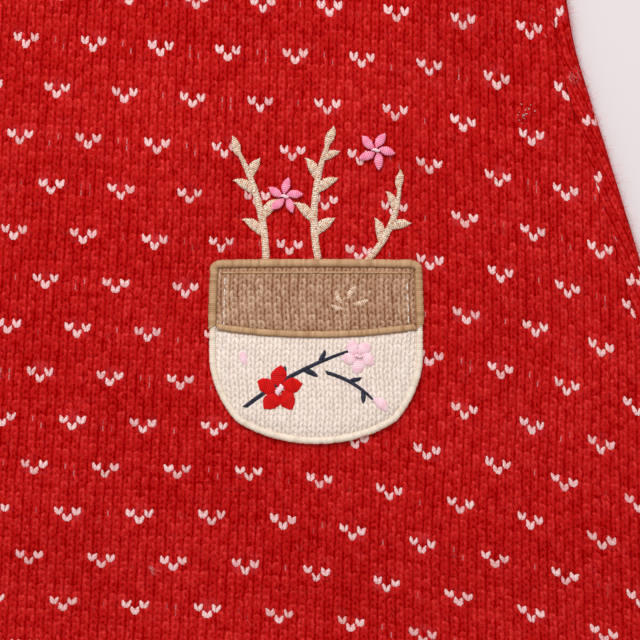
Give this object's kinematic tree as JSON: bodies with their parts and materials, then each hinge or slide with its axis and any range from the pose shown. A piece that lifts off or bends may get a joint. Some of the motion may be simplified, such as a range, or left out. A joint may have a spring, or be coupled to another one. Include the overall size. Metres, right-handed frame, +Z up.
{
  "type": "knit dress",
  "caption": "Child's A-line jersey dress in red knit with pale flecks, laid flat: long sleeves, rib cuffs, neckband and hem, and a rounded patch pocket edged with cord.",
  "frame": {"origin": "middle of the foot of the box round the whole dress, on the surface it lies on", "axes": "+X across the dress towards the wearer's left, +Y from the hem to the neck, +Z up out of the surface, from the back panel to the front"},
  "size_m": [0.8036, 0.5642, 0.0106],
  "materials": {
    "red_knit": "matt brushed jersey knit with small white flecks",
    "brown_knit": "matt fine knit",
    "cream_knit": "matt fine knit",
    "tan_cord": "satin-stitched cord",
    "cream_cord": "satin-stitched cord"
  },
  "bodies": {
    "root": {"back": "red_knit", "front": "red_knit", "hem_rib": "red_knit", "neckband": "red_knit", "sleeve_right": "red_knit", "cuff_right": "red_knit", "sleeve_left": "red_knit", "cuff_left": "red_knit", "pocket_yoke": "brown_knit", "pocket_face": "cream_knit", "yoke_border": "tan_cord", "face_border": "cream_cord", "pocket_divider": "tan_cord"}
  },
  "joints": []
}
